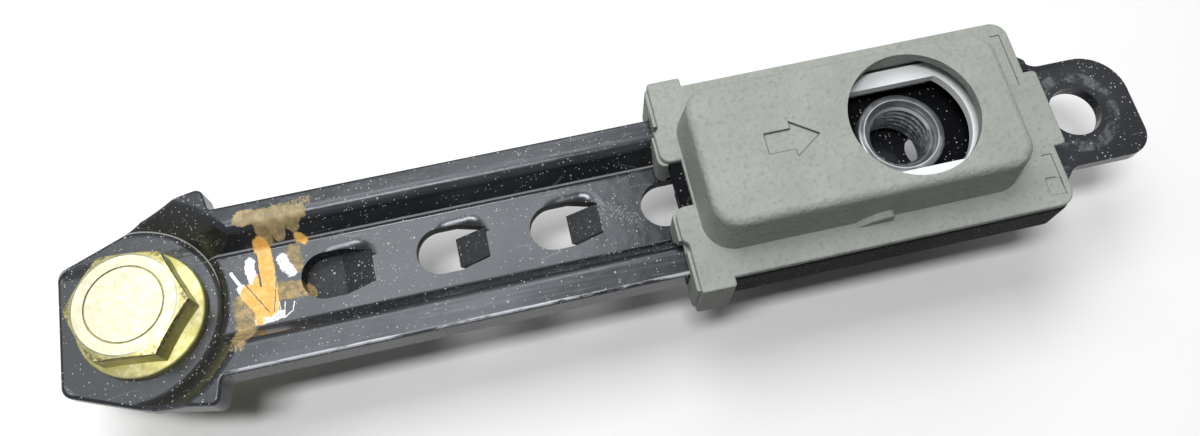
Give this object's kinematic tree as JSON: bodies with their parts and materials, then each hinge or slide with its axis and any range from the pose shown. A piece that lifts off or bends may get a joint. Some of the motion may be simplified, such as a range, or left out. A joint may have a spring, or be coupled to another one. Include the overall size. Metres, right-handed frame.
{
  "type": "seat belt height adjuster",
  "caption": "Pillar rail with punched lock windows and a sprung sliding carriage that carries the threaded belt anchor, with its captive lower fixing bolt.",
  "frame": {"origin": "on the axis of the lower fixing bolt, in the plane of the pillar face, where the bolt's thread leaves its retaining washer", "axes": "+X along the rail from the lower bolt towards the upper fixing tab, +Z out of the pillar into the cabin, along the axis of the belt anchor, +Y across the rail"},
  "size_m": [0.1848, 0.0376, 0.0378],
  "materials": {
    "black_coated_steel": "black coating with a soft gloss, dusty and scratched",
    "yellow_zinc_steel": "yellow passivated zinc, dull on the sides",
    "natural_nylon": "natural nylon",
    "dark_phosphate_steel": "dark phosphate, bright where it is worn",
    "grey_plastic": "grey-green moulded plastic with a fine grain",
    "white_plastic": "white moulded plastic",
    "spring_steel": "drawn spring wire"
  },
  "bodies": {
    "rail": {"rail": "black_coated_steel"},
    "carriage": {"slider_bracket": "black_coated_steel", "anchor_nut": "dark_phosphate_steel", "slider_cover": "grey_plastic", "guide_liner_far": "grey_plastic", "guide_liner_near": "grey_plastic", "latch_spring": "spring_steel"},
    "latch": {"latch": "dark_phosphate_steel"},
    "release_slide": {"release_slide": "white_plastic"},
    "bolt": {"lower_bolt": "yellow_zinc_steel", "bolt_retainer": "natural_nylon"}
  },
  "joints": [
    {"name": "carriage_slide", "type": "slide", "parent": "rail", "child": "carriage", "axis": [1, 0, 0], "range_m": [-0.0576, 0]},
    {"name": "latch_drop", "type": "slide", "parent": "carriage", "child": "latch", "axis": [0, 0, -1], "range_m": [0, 0.003], "stiffness_N_per_m": 600, "springref_m": 0.012, "deforming": ["latch_spring"]},
    {"name": "release_travel", "type": "slide", "parent": "carriage", "child": "release_slide", "axis": [1, 0, 0], "range_m": [0, 0.003]},
    {"name": "bolt_turn", "type": "hinge", "parent": "rail", "child": "bolt", "pos_m": [0, 0, 0], "axis": [0, 0, 1], "continuous": true}
  ],
  "couplings": [
    {"joint": "release_travel", "follows": "latch_drop", "ratio": 1}
  ]
}
